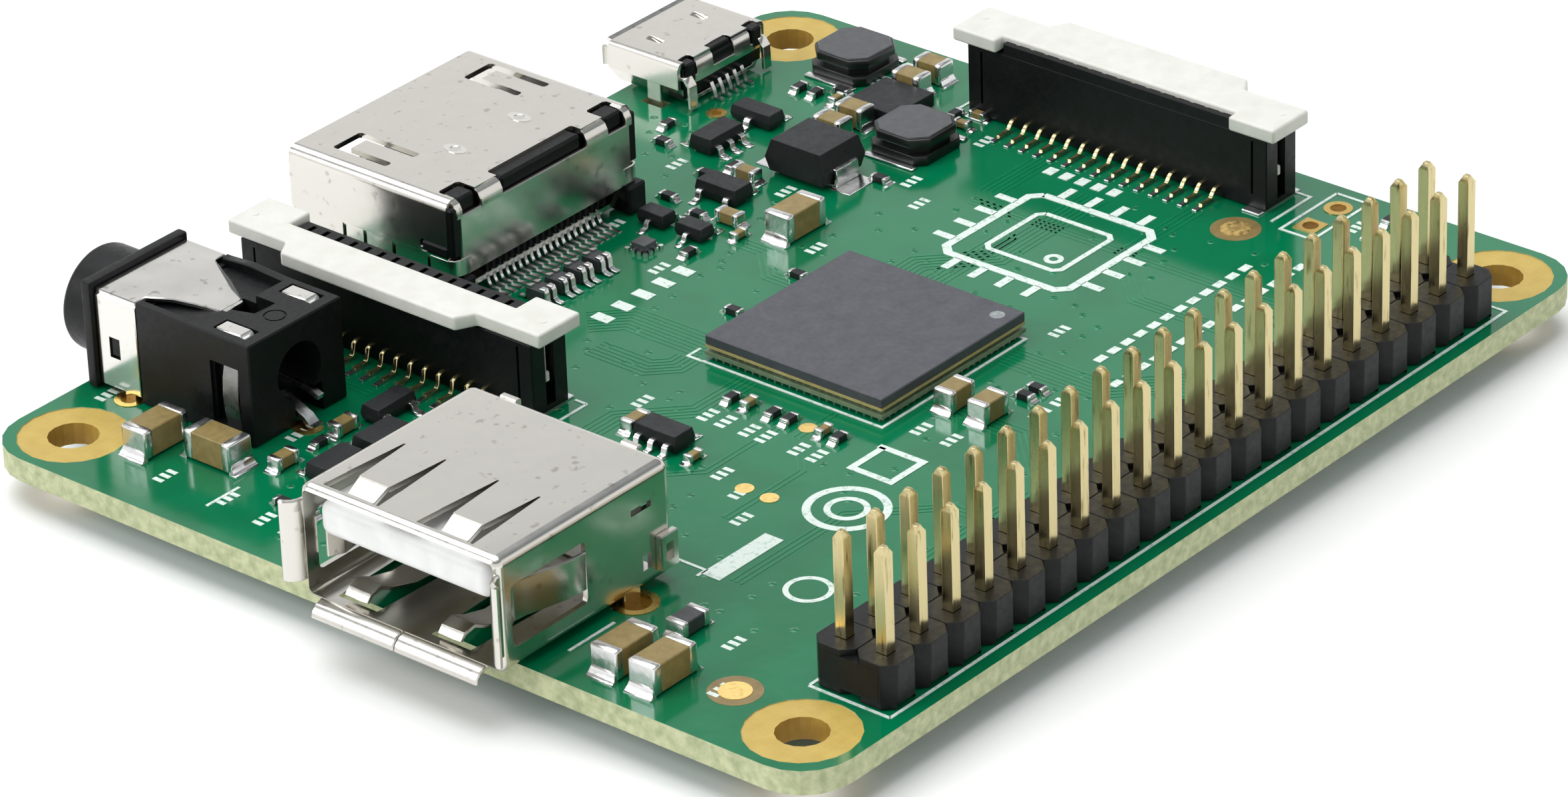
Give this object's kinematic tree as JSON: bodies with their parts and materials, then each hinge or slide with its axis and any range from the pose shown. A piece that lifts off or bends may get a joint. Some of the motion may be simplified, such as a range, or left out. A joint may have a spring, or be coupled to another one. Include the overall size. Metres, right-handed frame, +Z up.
{
  "type": "single board computer",
  "caption": "Bare rectangular computer board with a pin header, edge ports, upright cable latches and a sprung card socket underneath.",
  "frame": {"origin": "under the middle of the assembly's bounding box, on the plane of the solder tail tips that it stands on", "axes": "+X along the long edge towards the wide serial port, +Y across the board towards the pin header, +Z up out of the component side"},
  "size_m": [0.0676, 0.0582, 0.0113],
  "materials": {
    "board": "glossy green solder mask over glass fibre",
    "header": "black moulded insulator holding gold plated posts",
    "black_moulding": "black moulding",
    "white_moulding": "white moulding, satin",
    "nickel_sheet": "folded sheet, bright nickel plate",
    "contact_metal": "bright tin plate",
    "gold_contact": "gold plate",
    "ceramic_chip": "tan sintered body with tinned ends",
    "ferrite": "dark grey, fine grained",
    "chip_resin": "black moulding resin",
    "lamp_resin": "clear resin over a pale base"
  },
  "bodies": {
    "board_body": {"camera_housing": "black_moulding", "card_base": "black_moulding", "card_cam_rod": "contact_metal", "card_cover": "nickel_sheet", "card_spring": "contact_metal", "circuit_board": "board", "core_capacitor_1": "ceramic_chip", "core_capacitor_2": "ceramic_chip", "display_housing": "black_moulding", "input_capacitor": "ceramic_chip", "memory_package": "chip_resin", "pin_header": "header", "port_capacitor_1": "ceramic_chip", "port_capacitor_2": "ceramic_chip", "port_ferrite": "ferrite", "port_switch": "chip_resin", "power_capacitor_1": "ceramic_chip", "power_capacitor_2": "ceramic_chip", "power_capacitor_3": "ceramic_chip", "power_capacitor_4": "ceramic_chip", "power_diode": "chip_resin", "power_inductor_1": "ferrite", "power_inductor_2": "ferrite", "power_insulator": "black_moulding", "power_regulator": "chip_resin", "power_shell": "nickel_sheet", "power_transistor_1": "chip_resin", "power_transistor_2": "chip_resin", "processor": "chip_resin", "sound_buffer_1": "chip_resin", "sound_buffer_2": "chip_resin", "sound_capacitor_1": "ceramic_chip", "sound_capacitor_2": "ceramic_chip", "sound_contact_left": "contact_metal", "sound_contact_right": "contact_metal", "sound_contact_side": "contact_metal", "sound_diode": "chip_resin", "sound_housing": "black_moulding", "sound_shield": "nickel_sheet", "status_lamp_1": "lamp_resin", "status_lamp_2": "lamp_resin", "usb_contact_1": "gold_contact", "usb_contact_2": "gold_contact", "usb_contact_3": "gold_contact", "usb_contact_4": "gold_contact", "usb_shell": "nickel_sheet", "usb_tongue": "white_moulding", "video_choke_1": "ferrite", "video_choke_2": "ferrite", "video_choke_3": "ferrite", "video_choke_4": "ferrite", "video_insulator": "black_moulding", "video_shell": "nickel_sheet", "video_switch": "chip_resin", "video_transistor_1": "chip_resin", "video_transistor_2": "chip_resin"},
    "camera_latch_body": {"camera_latch": "white_moulding"},
    "display_latch_body": {"display_latch": "white_moulding"},
    "card_slider_body": {"card_slider": "black_moulding"}
  },
  "joints": [
    {"name": "camera_latch_lift", "type": "slide", "parent": "board_body", "child": "camera_latch_body", "axis": [0, 0, 1], "range_m": [0, 0.0013]},
    {"name": "display_latch_lift", "type": "slide", "parent": "board_body", "child": "display_latch_body", "axis": [0, 0, 1], "range_m": [0, 0.0013]},
    {"name": "card_slider_push", "type": "slide", "parent": "board_body", "child": "card_slider_body", "axis": [1, 0, 0], "range_m": [0, 0.0012], "stiffness_N_per_m": 400}
  ]
}
